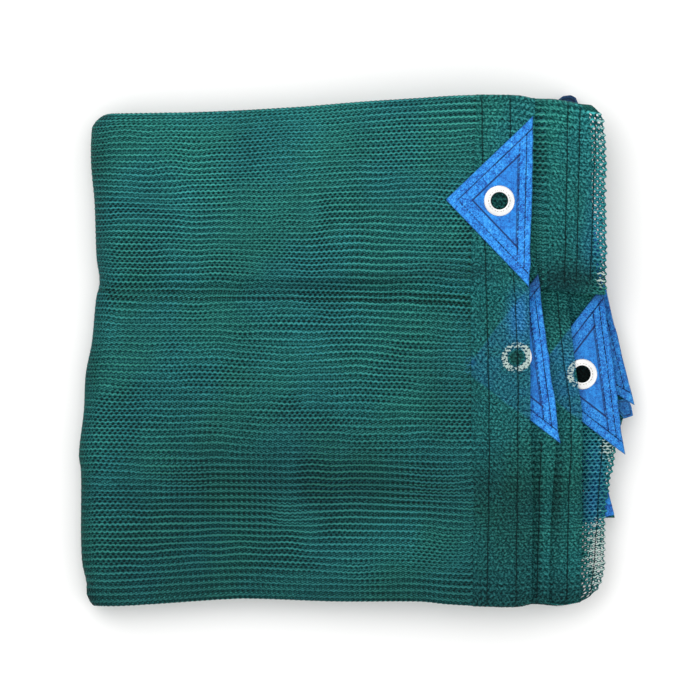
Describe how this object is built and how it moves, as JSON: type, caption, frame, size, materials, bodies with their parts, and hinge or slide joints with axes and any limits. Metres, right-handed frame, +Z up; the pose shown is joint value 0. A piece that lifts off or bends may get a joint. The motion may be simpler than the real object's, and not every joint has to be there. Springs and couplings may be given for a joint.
{
  "type": "folded olive harvest net",
  "caption": "Dark green knitted harvest net with a stitched hem and blue corner patches with metal eyelets, pleated and folded in half into a soft flat square.",
  "frame": {"origin": "middle of the folded net's underside, on the surface it lies on", "axes": "+X towards the open hemmed edges, +Y towards the pleated side with the short section, +Z up out of the surface"},
  "size_m": [0.4068, 0.375, 0.0472],
  "materials": {
    "net": "knitted polyethylene tape, satin, part see-through",
    "patch": "woven coated tarpaulin, satin",
    "eyelet": "pressed and polished"
  },
  "bodies": {
    "root": {"net": "net", "patch_1": "patch", "eyelet_1": "eyelet", "patch_2": "patch", "eyelet_2": "eyelet", "patch_3": "patch", "eyelet_3": "eyelet", "patch_4": "patch", "eyelet_4": "eyelet", "patch_5": "patch", "eyelet_5": "eyelet", "patch_6": "patch", "eyelet_6": "eyelet"}
  },
  "joints": []
}
